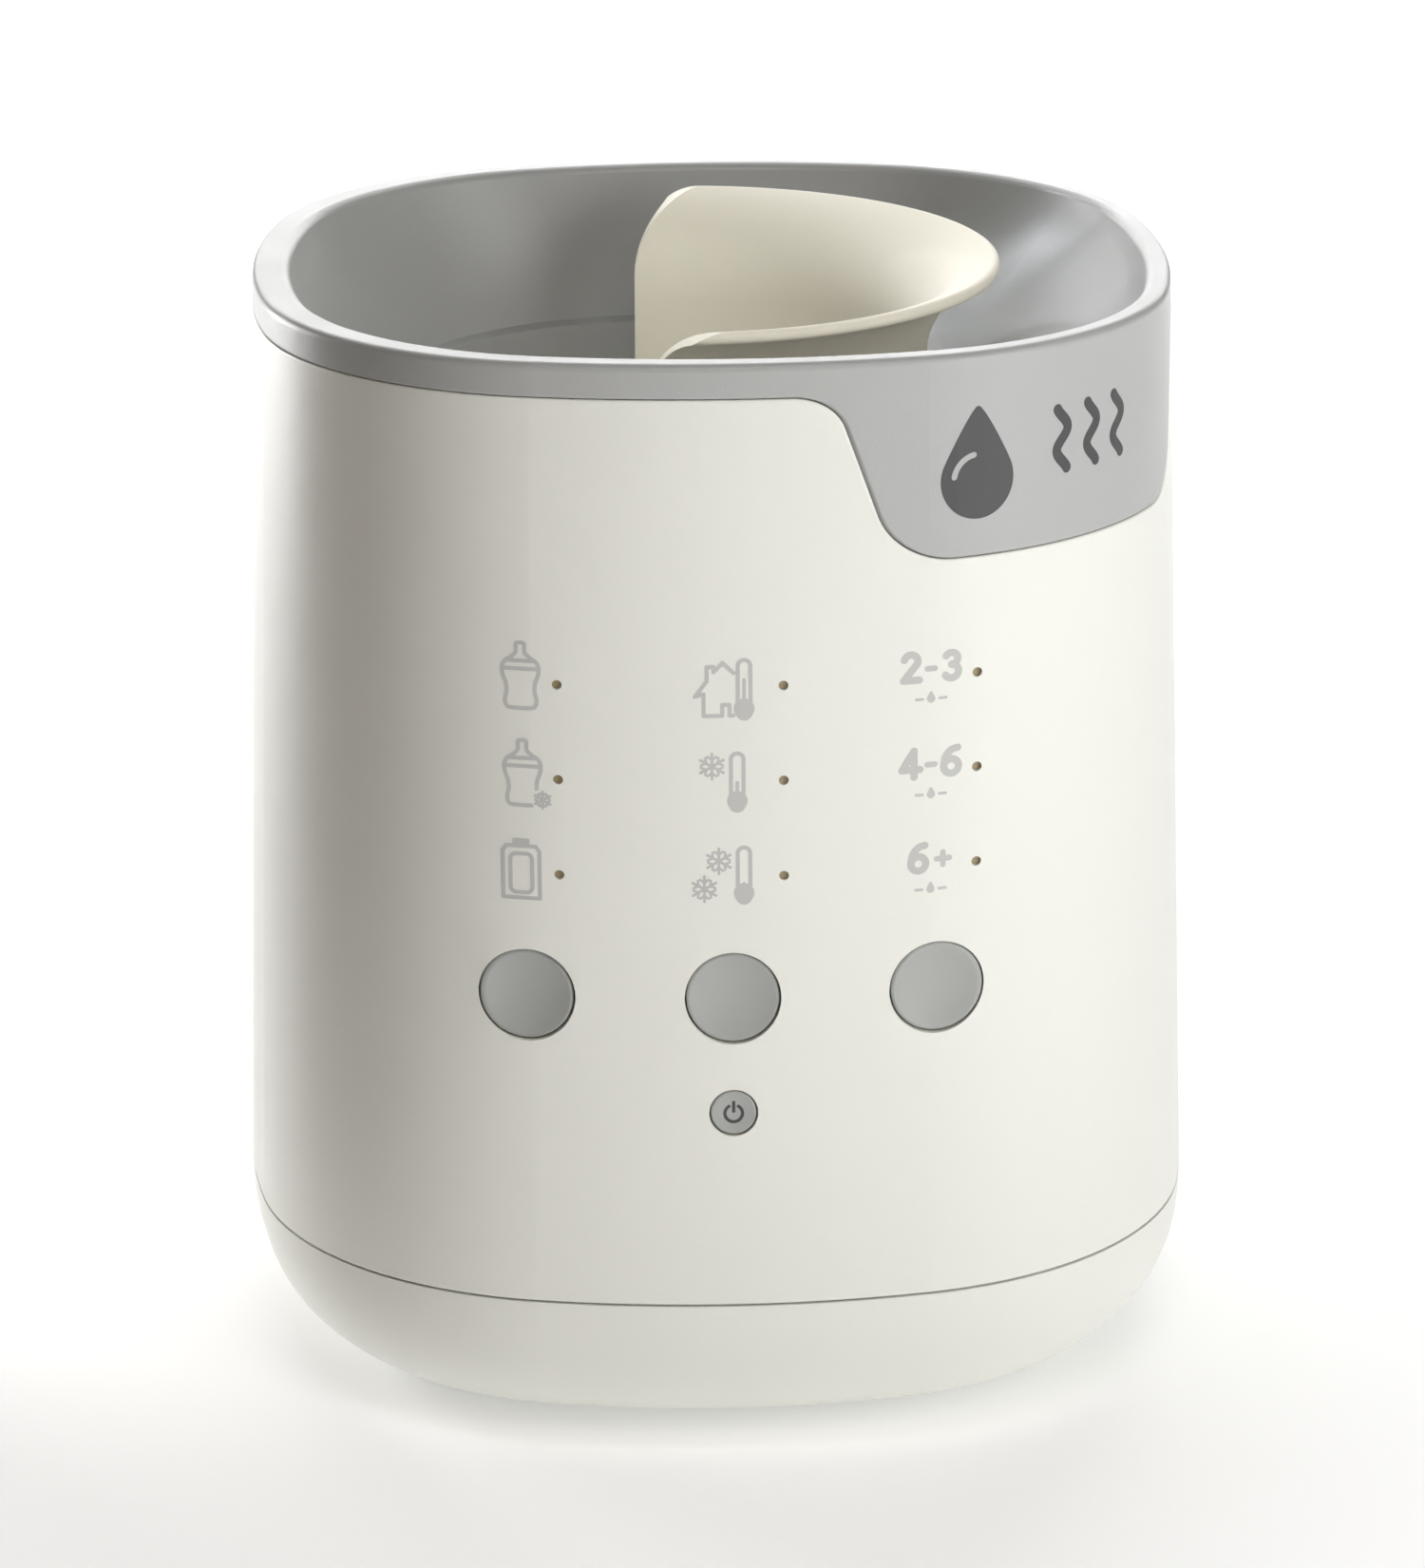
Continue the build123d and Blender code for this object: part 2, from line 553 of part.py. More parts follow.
def make_heater_plate():
    """Aluminium plate with a raised centre that fills the hole in the tank floor."""
    plate = rod_z(WELL_X, 0, PLATE_UNDER_Z, PLATE_TOP_Z, PLATE_RADIUS)
    raised = rod_z(WELL_X, 0, PLATE_TOP_Z, TANK_FLOOR_Z - 0.6, FLOOR_HOLE_RADIUS - 0.6)
    return plate + chamfer(raised.faces().sort_by(Axis.Z)[-1].edges(), 0.8)


def make_clamp_ring():
    """Steel ring with four ears that presses the plate against its seal."""
    span = (PLATE_UNDER_Z - CLAMP_THICK, PLATE_UNDER_Z)
    ring = rod_z(0, 0, *span, CLAMP_RADIUS)
    for turn in range(4):
        ear = rod_z(CLAMP_EAR_AT, 0, *span, CLAMP_EAR_RADIUS)
        ear += block((PLATE_RADIUS - 1, CLAMP_EAR_AT), (-CLAMP_EAR_RADIUS, CLAMP_EAR_RADIUS), span)
        ring += Rot(0, 0, 90 * turn) * ear
    ring -= rod_z(0, 0, 0, 60, FLOOR_HOLE_RADIUS + 0.5)
    for turn in range(4):
        ring -= Rot(0, 0, 90 * turn) * rod_z(CLAMP_EAR_AT, 0, 0, 60, CLAMP_SCREW_RADIUS + 0.35)
    return Pos(WELL_X, 0, 0) * ring


def make_clamp_screws():
    """Four screws that hold the clamp ring to the tank's bosses."""
    head_h = 1.4
    head_z = PLATE_UNDER_Z - CLAMP_THICK - head_h
    one = Pos(CLAMP_EAR_AT, 0, 0) * screw(head_z, TANK_UNDER_Z - 0.3, CLAMP_SCREW_RADIUS, 2.8, head_h)
    return [Pos(WELL_X, 0, 0) * Rot(0, 0, 90 * turn) * one for turn in range(4)]


def make_heating_element():
    """Open ring of sheathed tube under the plate, with a pin down from each end."""
    z = PLATE_UNDER_Z - ELEMENT_TUBE - TOUCH_GAP
    section = Plane.XZ * Pos(ELEMENT_RADIUS, z) * Circle(ELEMENT_TUBE)
    ring = Rot(0, 0, 20) * revolve(section, Axis.Z, 320)
    for angle in (ELEMENT_PIN_ANGLE, -ELEMENT_PIN_ANGLE):
        ring += Rot(0, 0, angle) * rod_z(ELEMENT_RADIUS, 0, z - ELEMENT_PIN_DROP, z, 1.2)
    return Pos(WELL_X, 0, 0) * ring


def make_temperature_sensor():
    """Sensor button pressed against the middle of the plate."""
    return rod_z(WELL_X, 0, PLATE_UNDER_Z - 4.0, PLATE_UNDER_Z - TOUCH_GAP, 3.0)


def make_sensor_clip():
    """Spring strap under the sensor, with a foot at each end against the plate."""
    top = PLATE_UNDER_Z - TOUCH_GAP
    low = top - 4.0 - STRAP_THICK
    width = (-3.5, 3.5)
    clip = block((WELL_X - 13, WELL_X + 13), width, (low, low + STRAP_THICK))
    for side in (-1, 1):
        bend = WELL_X + side * (13.0 - STRAP_THICK)
        clip += block(sorted((bend, WELL_X + side * 13.0)), width, (low, top))
        clip += block(sorted((bend, WELL_X + side * 17.0)), width, (top - STRAP_THICK, top))
    return clip


def make_thermal_fuse():
    """Axial thermal cut-off lying against the plate."""
    fuse = Rot(0, 90, 0) * (Cylinder(2.0, 11.0) + Cylinder(0.5, 17.0))
    return Pos(WELL_X, FUSE_Y, PLATE_UNDER_Z - 2.1) * fuse


def make_fuse_strap():
    """Steel strap that holds the fuse to the plate."""
    top = PLATE_UNDER_Z - TOUCH_GAP
    width = (WELL_X - 2.5, WELL_X + 2.5)
    outer, inner = 3.4, 3.4 - STRAP_THICK
    strap = block(width, (FUSE_Y - outer, FUSE_Y + outer), (top - 4.8, top))
    strap -= block((WELL_X - 3, WELL_X + 3), (FUSE_Y - inner, FUSE_Y + inner), (top - 4.2, top + 1))
    return strap + block(width, (FUSE_Y + outer - 0.1, FUSE_Y + 7.5), (top - STRAP_THICK, top))


# ---------------------------------------------------------------- base electronics
def make_power_board():
    """Mains board on four posts in the base."""
    half_x = POWER_BOARD_SIZE[0] / 2
    half_y = POWER_BOARD_SIZE[1] / 2
    board = block((WELL_X - half_x, WELL_X + half_x), (-half_y, half_y), (POWER_BOARD_Z, POWER_BOARD_TOP))
    for x, y in POWER_POST_AT:
        board -= rod_z(x, y, 0, 40, BOARD_SCREW_RADIUS + 0.45)
    return board


def make_relay():
    """Sealed relay that switches the element."""
    z = POWER_BOARD_TOP
    return fillet(block((-23, -8), (-19, 0), (z, z + 11.5)).edges().filter_by(Axis.Z), 0.8)


def make_transformer():
    """Wound core of the low-voltage supply."""
    z = POWER_BOARD_TOP
    core = block((-3, 13), (-22, -6), (z, z + 12))
    return core + rod_z(5, -14, z + 11.9, z + 13.2, 6.5)


def make_capacitors():
    """Film suppression capacitor and two round electrolytics."""
    z = POWER_BOARD_TOP
    film = fillet(block((-22, -5), (9, 16), (z, z + 11)).edges(), 0.8)
    return [film, rod_z(3, 4, z, z + 12, 4.0), rod_z(12, 4, z, z + 10, 3.2)]


def make_terminal_block():
    """Two-way screw terminal for the supply leads."""
    z = POWER_BOARD_TOP
    terminal = block((-3, 9), (19, 29), (z, z + 9))
    for x in (0, 6):
        terminal -= rod_z(x, 24, z + 6, z + 10, 1.8)
        terminal -= rod_y(x, z + 3, 25, 30, 1.4)
    return terminal


def make_power_screws():
    """Four screws that hold the power board to its posts."""
    top = POWER_BOARD_TOP
    one = rod_z(0, 0, top - 7.0, top, BOARD_SCREW_RADIUS) + rod_z(0, 0, top, top + 1.3, 2.4)
    one -= Pos(0, 0, top + 1.3) * Box(3.2, 0.6, 1.0)
    return [Pos(x, y, 0) * one for x, y in POWER_POST_AT]


def make_ribbon_lead():
    """Flat lead from the control board down to the power board, folded once."""
    back = BOARD_FRONT_Y + BOARD_THICK
    width, thick = (-8, 2), 0.8
    run_z, end_y = 18.6, -29.5
    drop = block(width, (back, back + thick), (run_z, 60))
    run = block(width, (back, end_y), (run_z, run_z + thick))
    fall = block(width, (end_y - thick, end_y), (POWER_BOARD_TOP, run_z + thick))
    return drop + run + fall


def heater_lead(side):
    """Insulated lead from one pin of the element down to the power board."""
    angle = math.radians(ELEMENT_PIN_ANGLE)
    pin_x = WELL_X + ELEMENT_RADIUS * math.cos(angle)
    pin_y = side * ELEMENT_RADIUS * math.sin(angle)
    top = PLATE_UNDER_Z - ELEMENT_TUBE - ELEMENT_PIN_DROP - TOUCH_GAP
    bend_z, end_x, end_y = 20.0, 16.0, pin_y + 1
    points = [(pin_x, pin_y, top), (pin_x, pin_y, bend_z), (end_x, end_y, bend_z)]
    points.append((end_x, end_y, POWER_BOARD_TOP + 0.1))
    route = FilletPolyline(*points, radius=2.2)
    section = Plane(origin=route @ 0, z_dir=route % 0) * Circle(1.1)
    return sweep(section, path=route)


def make_body_screws():
    """Four long screws through the base posts into the tank, with the casing held between."""
    one = screw(BODY_SCREW_HEAD_Z, TANK_FLOOR_Z - 5.0, BODY_SCREW_RADIUS, 3.0, 2.0)
    return [Pos(x, y, 0) * one for x, y in BODY_SCREW_AT]


def make_inlet_grommet():
    """Rubber bush in the rear wall, with a flange inside and a straight bore for the supply cord."""
    bush = rod_y(0, INLET_Z, INLET_Y[0], INLET_Y[1], INLET_RADIUS - 0.1)
    bush += rod_y(0, INLET_Z, *INLET_FLANGE_Y, INLET_RADIUS + 1.5)
    return bush - rod_y(0, INLET_Z, 50, 90, INLET_BORE)


# ---------------------------------------------------------------- all nodes
def all_nodes():
    """Every node's name and its solids."""
    nodes = {
        "outer_casing": make_outer_casing(),
        "water_tank": make_water_tank(),
        "base_shell": make_base_shell(),
        "basket": make_basket(),
        "power_button": make_power_button(),
        "tact_switches": make_tact_switches(),
        "control_board": make_control_board(),
        "control_chips": make_control_chips(),
        "status_leds": make_status_leds(),
        "light_guide": make_light_guide(),
        "control_board_screws": make_control_screws(),
        "tank_seal": make_tank_seal(),
        "heater_plate": make_heater_plate(),
        "clamp_ring": make_clamp_ring(),
        "clamp_screws": make_clamp_screws(),
        "heating_element": make_heating_element(),
        "temperature_sensor": make_temperature_sensor(),
        "sensor_clip": make_sensor_clip(),
        "thermal_fuse": make_thermal_fuse(),
        "fuse_strap": make_fuse_strap(),
        "power_board": make_power_board(),
        "relay": make_relay(),
        "transformer": make_transformer(),
        "capacitors": make_capacitors(),
        "terminal_block": make_terminal_block(),
        "power_board_screws": make_power_screws(),
        "ribbon_lead": make_ribbon_lead(),
        "heater_leads": [heater_lead(-1), heater_lead(1)],
        "body_screws": make_body_screws(),
        "inlet_grommet": make_inlet_grommet(),
    }
    for side, x in zip(("left", "centre", "right"), MODE_BUTTON_X):
        nodes[side + "_mode_button"] = make_mode_button(x)
        nodes[side + "_switch_plunger"] = make_plunger(x, MODE_BUTTON_Z)
    nodes["power_switch_plunger"] = make_plunger(0, POWER_BUTTON_Z)
    for front, side_y in (("front", -1), ("rear", 1)):
        for side, side_x in (("left", -1), ("right", 1)):
            nodes[f"{front}_{side}_foot"] = make_foot(side_x, side_y)
    return nodes


def main():
    os.makedirs("parts", exist_ok=True)
    for name, shape in all_nodes().items():
        if isinstance(shape, list):
            shape = Compound(children=shape)
        export_step(shape, f"parts/{name}.step")


main()
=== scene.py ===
"""Looks of the counter-top bottle warmer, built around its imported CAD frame.

Metres, in the CAD model's own frame: the origin is on the floor under the body, the front faces -Y.
"""
import math

import bpy
import numpy as np
from mathutils import Matrix, Vector
from mathutils.bvhtree import BVHTree


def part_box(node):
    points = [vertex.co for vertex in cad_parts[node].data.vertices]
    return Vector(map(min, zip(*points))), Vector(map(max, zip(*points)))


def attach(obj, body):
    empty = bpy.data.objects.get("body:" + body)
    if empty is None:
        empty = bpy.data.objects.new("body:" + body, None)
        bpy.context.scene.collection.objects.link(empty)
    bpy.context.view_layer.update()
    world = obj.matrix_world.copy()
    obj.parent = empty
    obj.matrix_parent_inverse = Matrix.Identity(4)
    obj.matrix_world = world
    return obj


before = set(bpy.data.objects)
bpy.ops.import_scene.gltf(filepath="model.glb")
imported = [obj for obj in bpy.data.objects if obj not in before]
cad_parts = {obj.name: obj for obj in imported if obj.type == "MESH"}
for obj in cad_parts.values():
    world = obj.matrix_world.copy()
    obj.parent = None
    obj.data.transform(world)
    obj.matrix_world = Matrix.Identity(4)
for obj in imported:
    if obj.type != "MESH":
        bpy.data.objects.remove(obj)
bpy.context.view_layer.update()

MM = 0.001
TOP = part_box("water_tank")[1].z
SIDES = ("left", "centre", "right")

# The body's front right corner, in millimetres: X of its arc's centre, its radius, the angle that the
# arc starts at, and about how far round the front from its middle that is.
CORNER_X = 18.68
CORNER_R = 52.6
CORNER_TURN = math.radians(12.26)
CORNER_START = 29.7

# Camera: a long lens a metre away, a little left of the middle and looking down at the body. The angles
# are in degrees, the lens in millimetres.
CAMERA_AZIMUTH = -2.25
CAMERA_ELEVATION = 18.27
CAMERA_ROLL = -0.31
CAMERA_DISTANCE = 1.008
CAMERA_LENS = 142.5
CAMERA_TARGET = Vector((-0.0001, 0.0, 0.0872))

# The floor's half width, the strength of its glow at the object and far from it, and the distances
# between which the glow grows.
FLOOR_HALF = 6.0
FLOOR_GLOW = (0.22, 0.8)
FLOOR_GLOW_FROM = (0.45, 1.3)


# ---------------------------------------------------------------- colour and nodes
def linear(red, green, blue):
    """Linear colour of a display colour given as 0 to 255."""
    def channel(value):
        value = value / 255
        return value / 12.92 if value <= 0.04045 else ((value + 0.055) / 1.055) ** 2.4

    return (channel(red), channel(green), channel(blue), 1.0)


def scaled(colour, factor):
    """A linear colour, brighter or darker."""
    return tuple(min(1.0, c * factor) for c in colour[:3]) + (1.0,)


class Shader:
    """A material's node tree, and the kinds of node that the finishes share."""

    def __init__(self, name):
        self.material = bpy.data.materials.new(name)
        self.material.use_nodes = True
        self.tree = self.material.node_tree
        self.surface = self.tree.nodes["Principled BSDF"]
        self.place = self.add("ShaderNodeTexCoord").outputs["Object"]

    def add(self, kind, **settings):
        node = self.tree.nodes.new(kind)
        for key, value in settings.items():
            setattr(node, key, value)
        return node

    def link(self, source, target):
        self.tree.links.new(source, target)

    def noise(self, scale, detail=2.0, rough=0.5, stretch=None):
        """Noise over the piece; stretch makes it that many times finer along each axis."""
        node = self.add("ShaderNodeTexNoise")
        node.inputs["Scale"].default_value = scale
        node.inputs["Detail"].default_value = detail
        node.inputs["Roughness"].default_value = rough
        source = self.place
        if stretch:
            mapping = self.add("ShaderNodeMapping")
            mapping.inputs["Scale"].default_value = stretch
            self.link(source, mapping.inputs["Vector"])
            source = mapping.outputs["Vector"]
        self.link(source, node.inputs["Vector"])
        return node.outputs["Fac"]

    def spread(self, source, low, high):
        """The noise's middle range, spread between two values."""
        node = self.add("ShaderNodeMapRange")
        node.inputs["From Min"].default_value = 0.3
        node.inputs["From Max"].default_value = 0.7
        node.inputs["To Min"].default_value = low
        node.inputs["To Max"].default_value = high
        self.link(source, node.inputs["Value"])
        return node.outputs["Result"]

    def blend(self, factor, first, second):
        """Mix of two colours by a factor."""
        node = self.add("ShaderNodeMix", data_type="RGBA")
        node.inputs["A"].default_value = first
        node.inputs["B"].default_value = second
        self.link(factor, node.inputs["Factor"])
        return node.outputs["Result"]

    def bump(self, height, distance, strength):
        """Bump of a height field."""
        node = self.add("ShaderNodeBump")
        node.inputs["Distance"].default_value = distance
        node.inputs["Strength"].default_value = strength
        self.link(height, node.inputs["Height"])
        return node.outputs["Normal"]

    def dress(self, colour=None, roughness=None, normal=None):
        """Links outputs to the surface's colour, roughness and normal."""
        outputs = {"Base Color": colour, "Roughness": roughness, "Normal": normal}
        for key, output in outputs.items():
            if output is not None:
                self.link(output, self.surface.inputs[key])

    def finish(self, roughness, metallic=0.0, specular=0.5):
        """The finished material. The roughness counts where none is linked."""
        self.surface.inputs["Metallic"].default_value = metallic
        self.surface.inputs["Specular IOR Level"].default_value = specular
        if not self.surface.inputs["Roughness"].is_linked:
            self.surface.inputs["Roughness"].default_value = roughness
        return self.material


def moulded(name, colour, roughness, grain=0.02, grain_scale=2600.0, tone=0.02, soft=0.0, specular=0.5):
    """Moulded plastic: faint tone drift, fine spark-eroded grain and a slow ripple in its gloss."""
    shader = Shader(name)
    drift = shader.noise(scale=14.0, detail=3.0)
    gloss = shader.noise(scale=60.0, detail=4.0)
    fine = shader.noise(scale=grain_scale, detail=3.0, rough=0.6)
    shader.dress(
        colour=shader.blend(drift, scaled(colour, 1 - tone), scaled(colour, 1 + tone)),
        roughness=shader.spread(gloss, roughness * 0.92, roughness * 1.08),
        normal=shader.bump(fine, distance=grain * MM, strength=0.6),
    )
    if soft:
        shader.surface.inputs["Subsurface Weight"].default_value = soft
        shader.surface.inputs["Subsurface Radius"].default_value = (1.0, 0.85, 0.7)
        shader.surface.inputs["Subsurface Scale"].default_value = 1.2 * MM
    return shader.finish(roughness, specular=specular)


def rubber(name, colour, roughness=0.75):
    """Matte rubber with a dusty bloom and a fine tooth."""
    shader = Shader(name)
    bloom = shader.noise(scale=220.0, detail=5.0, rough=0.7)
    tooth = shader.noise(scale=3000.0, detail=2.0)
    shader.dress(
        colour=shader.blend(bloom, scaled(colour, 0.85), scaled(colour, 1.25)),
        roughness=shader.spread(bloom, roughness - 0.08, roughness + 0.08),
        normal=shader.bump(tooth, distance=0.03 * MM, strength=0.7),
    )
    return shader.finish(roughness, specular=0.3)


def metal(name, colour, roughness, stretch=(1.0, 1.0, 12.0), scale=900.0):
    """Metal with a drawn or turned grain and uneven gloss."""
    shader = Shader(name)
    grain = shader.noise(scale, detail=4.0, rough=0.6, stretch=stretch)
    shader.dress(
        colour=shader.blend(grain, scaled(colour, 0.9), scaled(colour, 1.08)),
        roughness=shader.spread(grain, roughness * 0.8, roughness * 1.25),
        normal=shader.bump(grain, distance=0.01 * MM, strength=0.6),
    )
    return shader.finish(roughness, metallic=1.0)


def board_green(name):
    """Solder mask over a brick pattern of paler tracks."""
    shader = Shader(name)
    tracks = shader.add("ShaderNodeTexBrick")
    tracks.inputs["Scale"].default_value = 160.0
    tracks.inputs["Mortar Size"].default_value = 0.03
    tracks.inputs["Color1"].default_value = linear(24, 98, 54)
    tracks.inputs["Color2"].default_value = linear(28, 108, 60)
    tracks.inputs["Mortar"].default_value = linear(44, 132, 78)
    shader.link(shader.place, tracks.inputs["Vector"])
    shader.dress(
        colour=tracks.outputs["Color"],
        normal=shader.bump(tracks.outputs["Fac"], distance=0.03 * MM, strength=0.5),
    )
    return shader.finish(0.35)


# ---------------------------------------------------------------- materials
WHITE = linear(238, 238, 231)
GREY = linear(180, 181, 180)
IVORY = linear(244, 239, 222)
BUTTON = linear(172, 174, 171)
PRINT = linear(196, 196, 193)
DARK_PRINT = linear(70, 70, 72)


def paint(material, *names):
    """One material on the named CAD nodes."""
    for name in names:
        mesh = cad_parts[name].data
        mesh.materials.clear()
        mesh.materials.append(material)


def paint_mouldings():
    """The outer shell, the tank, the basket and the buttons."""
    white = moulded("white_shell", WHITE, 0.34, grain=0.006, grain_scale=1500.0, tone=0.008, soft=0.08)
    paint(white, "outer_casing", "base_shell")
    grey = moulded("grey_moulding", GREY, 0.33, grain=0.06, grain_scale=3200.0, tone=0.012, specular=0.45)
    paint(grey, "water_tank")
    ivory = moulded("cream_moulding", IVORY, 0.52, grain=0.006, tone=0.008, soft=0.12, specular=0.25)
    paint(ivory, "basket")
    button = moulded("button_grey", BUTTON, 0.42, grain=0.012, tone=0.015)
    paint(button, "power_button", *(side + "_mode_button" for side in SIDES))


def paint_electrics():
    """Boards and what stands on them, the switches, the leads and the sensors."""
    black = moulded("black_plastic", linear(36, 36, 38), 0.5, tone=0.1)
    paint(black, "tact_switches", "control_chips", "relay")
    paint(black, *(side + "_switch_plunger" for side in (*SIDES, "power")))
    paint(moulded("winding_tape", linear(196, 160, 60), 0.5, tone=0.1), "transformer")
    paint(moulded("clear_guide", linear(160, 144, 110), 0.4, tone=0.06), "light_guide")
    paint(moulded("led_lens", linear(228, 190, 140), 0.3, tone=0.05), "status_leds")
    sensor = moulded("sensor_body", linear(216, 210, 190), 0.6, tone=0.05)
    paint(sensor, "temperature_sensor", "thermal_fuse")
    paint(moulded("capacitor_case", linear(214, 168, 44), 0.35, tone=0.04), "capacitors")
    paint(moulded("terminal_green", linear(38, 120, 62), 0.45, tone=0.05), "terminal_block")
    paint(board_green("circuit_board"), "control_board", "power_board")
    paint(rubber("lead_sleeve", linear(214, 212, 204), 0.5), "ribbon_lead", "heater_leads")


def paint_metals_and_seals():
    """The heater and its clamps, the screws, the seal, the cord's bush and the feet."""
    screws = ("control_board_screws", "clamp_screws", "power_board_screws", "body_screws")
    paint(metal("screw_steel", linear(196, 197, 199), 0.32), *screws)
    strip = metal("strip_steel", linear(188, 189, 190), 0.28, stretch=(1.0, 10.0, 1.0))
    paint(strip, "clamp_ring", "sensor_clip", "fuse_strap")
    plate = metal("plate_aluminium", linear(206, 208, 210), 0.36, stretch=(1.0, 14.0, 1.0), scale=600.0)
    paint(plate, "heater_plate")
    paint(metal("element_sheath", linear(150, 150, 150), 0.5), "heating_element")
    paint(rubber("seal_rubber", linear(176, 84, 66), 0.6), "tank_seal")
    feet = (end + "_" + side + "_foot" for end in ("front", "rear") for side in ("left", "right"))
    paint(rubber("dark_rubber", linear(58, 58, 60)), "inlet_grommet", *feet)


# ---------------------------------------------------------------- printed marks
# Each mark is drawn in millimetres as a signed distance: below zero inside the ink. Marks lie on the
# CAD surface that they are printed on, found by looking straight back at it from the front.
class Ink:
    """Flat artwork on a grid of points, built up one shape at a time."""

    # The distance that a grid starts with, before it has any ink.
    FAR = 9.0

    def __init__(self, centre, half_width, half_height, cell):
        self.columns = centre[0] + np.arange(-half_width, half_width + cell, cell)
        self.rows = centre[1] + np.arange(-half_height, half_height + cell, cell)
        self.x, self.z = np.meshgrid(self.columns - centre[0], self.rows - centre[1])
        self.distance = np.full(self.x.shape, self.FAR)

    def add(self, distance):
        self.distance = np.minimum(self.distance, distance)

    def cut(self, distance):
        self.distance = np.maximum(self.distance, -distance)

    def along(self, points, closed=False):
        """Distance to a line through the points."""
        points = list(points) + ([points[0]] if closed else [])
        best = np.full(self.x.shape, self.FAR)
        for (x0, z0), (x1, z1) in zip(points, points[1:]):
            dx, dz = x1 - x0, z1 - z0
            share = ((self.x - x0) * dx + (self.z - z0) * dz) / max(dx * dx + dz * dz, 1e-9)
            share = np.clip(share, 0, 1)
            best = np.minimum(best, np.hypot(self.x - x0 - share * dx, self.z - z0 - share * dz))
        return best

    def disc(self, x, z, radius):
        """Distance to a filled circle."""
        return np.hypot(self.x - x, self.z - z) - radius

    def plate(self, low, high, corner=0.0):
        """Distance to a filled rectangle with rounded corners."""
        across = np.abs(self.x - (low[0] + high[0]) / 2) - (high[0] - low[0]) / 2 + corner
        upward = np.abs(self.z - (low[1] + high[1]) / 2) - (high[1] - low[1]) / 2 + corner
        outside = np.hypot(np.maximum(across, 0), np.maximum(upward, 0))
        return outside + np.minimum(np.maximum(across, upward), 0) - corner

    def line(self, points, width, closed=False):
        """Line of ink through the points."""
        self.add(self.along(points, closed) - width / 2)

    def edge(self, distance, width):
        """Line of ink round the edge of a shape."""
        self.add(np.abs(distance) - width / 2)

    def outline(self):
        """Corners and faces of the inked area, cell by cell, with the cells on its edge cut to it."""
        inside = self.distance < 0
        margin = 0.02
        corners, faces, known = [], [], {}

        def corner(first, second=None):
            """Index of a grid point, or of the ink's edge between two grid points."""
            key = (first, second) if second is None or first < second else (second, first)
            if key not in known:
                row, column = first
                x, z = self.columns[column], self.rows[row]
                if second is not None:
                    start, stop = self.distance[first], self.distance[second]
                    share = min(max(start / (start - stop), margin), 1 - margin)
                    x += (self.columns[second[1]] - x) * share
                    z += (self.rows[second[0]] - z) * share
                known[key] = len(corners)
                corners.append((x, z))
            return known[key]

        for row in range(len(self.rows) - 1):
            for column in range(len(self.columns) - 1):
                cell = [(row, column), (row, column + 1), (row + 1, column + 1), (row + 1, column)]
                if not any(inside[place] for place in cell):
                    continue
                face = []
                for place, after in zip(cell, cell[1:] + cell[:1]):
                    if inside[place]:
                        face.append(corner(place))
                    if inside[place] != inside[after]:
                        face.append(corner(place, after))
                faces.append(face)
        return corners, faces


def curve(points, steps=6, closed=False):
    """Smooth line through the points, by Catmull and Rom's formula."""
    count = len(points)
    line = []
    for index in range(count if closed else count - 1):
        picked = [index - 1, index, index + 1, index + 2]
        if closed:
            picked = [points[i % count] for i in picked]
        else:
            picked = [points[min(max(i, 0), count - 1)] for i in picked]
        for step in range(steps):
            t = step / steps
            weights = (
                -0.5 * t + t * t - 0.5 * t**3,
                1 - 2.5 * t * t + 1.5 * t**3,
                0.5 * t + 2 * t * t - 1.5 * t**3,
                -0.5 * t * t + 0.5 * t**3,
            )
            line.append(tuple(sum(w * p[axis] for w, p in zip(weights, picked)) for axis in (0, 1)))
    return line if closed else line + [points[-1]]


def arc(x, z, radius, start, stop, steps=16):
    """Points round a circle between two angles in degrees, counted from +X."""
    angles = [math.radians(start + (stop - start) * step / steps) for step in range(steps + 1)]
    return [(x + radius * math.cos(a), z + radius * math.sin(a)) for a in angles]


def mirrored(points):
    """The points, then their mirror images in X back to the start: the outline of an upright shape."""
    return points + [(-x, z) for x, z in reversed(points)]


def printed(name, ink, node_name, material, body="housing", proud=0.03, sunk=0.06, wrap=None):
    """Thin film of ink on a CAD node's front surface, riding on its body. It stands proud of the surface
    and reaches under it by those millimetres, and wrap turns a mark's X into the model's."""
    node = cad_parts[node_name]
    surface = BVHTree.FromObject(node, bpy.context.evaluated_depsgraph_get())
    into = node.matrix_world.inverted()
    rearward = (into.to_3x3() @ Vector((0, 1, 0))).normalized()
    corners, faces = ink.outline()
    front, back = [], []
    for x, z in corners:
        x = wrap(x) if wrap else x
        start = into @ Vector((x * MM, -1.0, z * MM))
        place, normal, _, _ = surface.ray_cast(start, rearward)
        place = node.matrix_world @ place
        normal = (node.matrix_world.to_3x3() @ normal).normalized()
        front.append(place + normal * proud * MM)
        back.append(place - normal * sunk * MM)
    edges = dict.fromkeys(pair for face in faces for pair in zip(face, face[1:] + face[:1]))
    count = len(front)
    sides = [(a, a + count, b + count, b) for a, b in edges if (b, a) not in edges]
    under = [[corner + count for corner in reversed(face)] for face in faces]
    mesh = bpy.data.meshes.new(name)
    mesh.from_pydata(front + back, [], faces + under + sides)
    mesh.materials.append(material)
    film = bpy.data.objects.new(name, mesh)
    bpy.context.scene.collection.objects.link(film)
    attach(film, body)


# Widths of the marks' lines, in millimetres.
ICON_LINE = 0.62
LIQUID_LINE = 0.55
SNOW_LINE = 0.42
BARB_LINE = 0.36
DIGIT_LINE = 1.12
SIGN_LINE = 0.85
DASH_LINE = 0.42
WAVE_LINE = 1.7
SYMBOL_LINE = 0.5


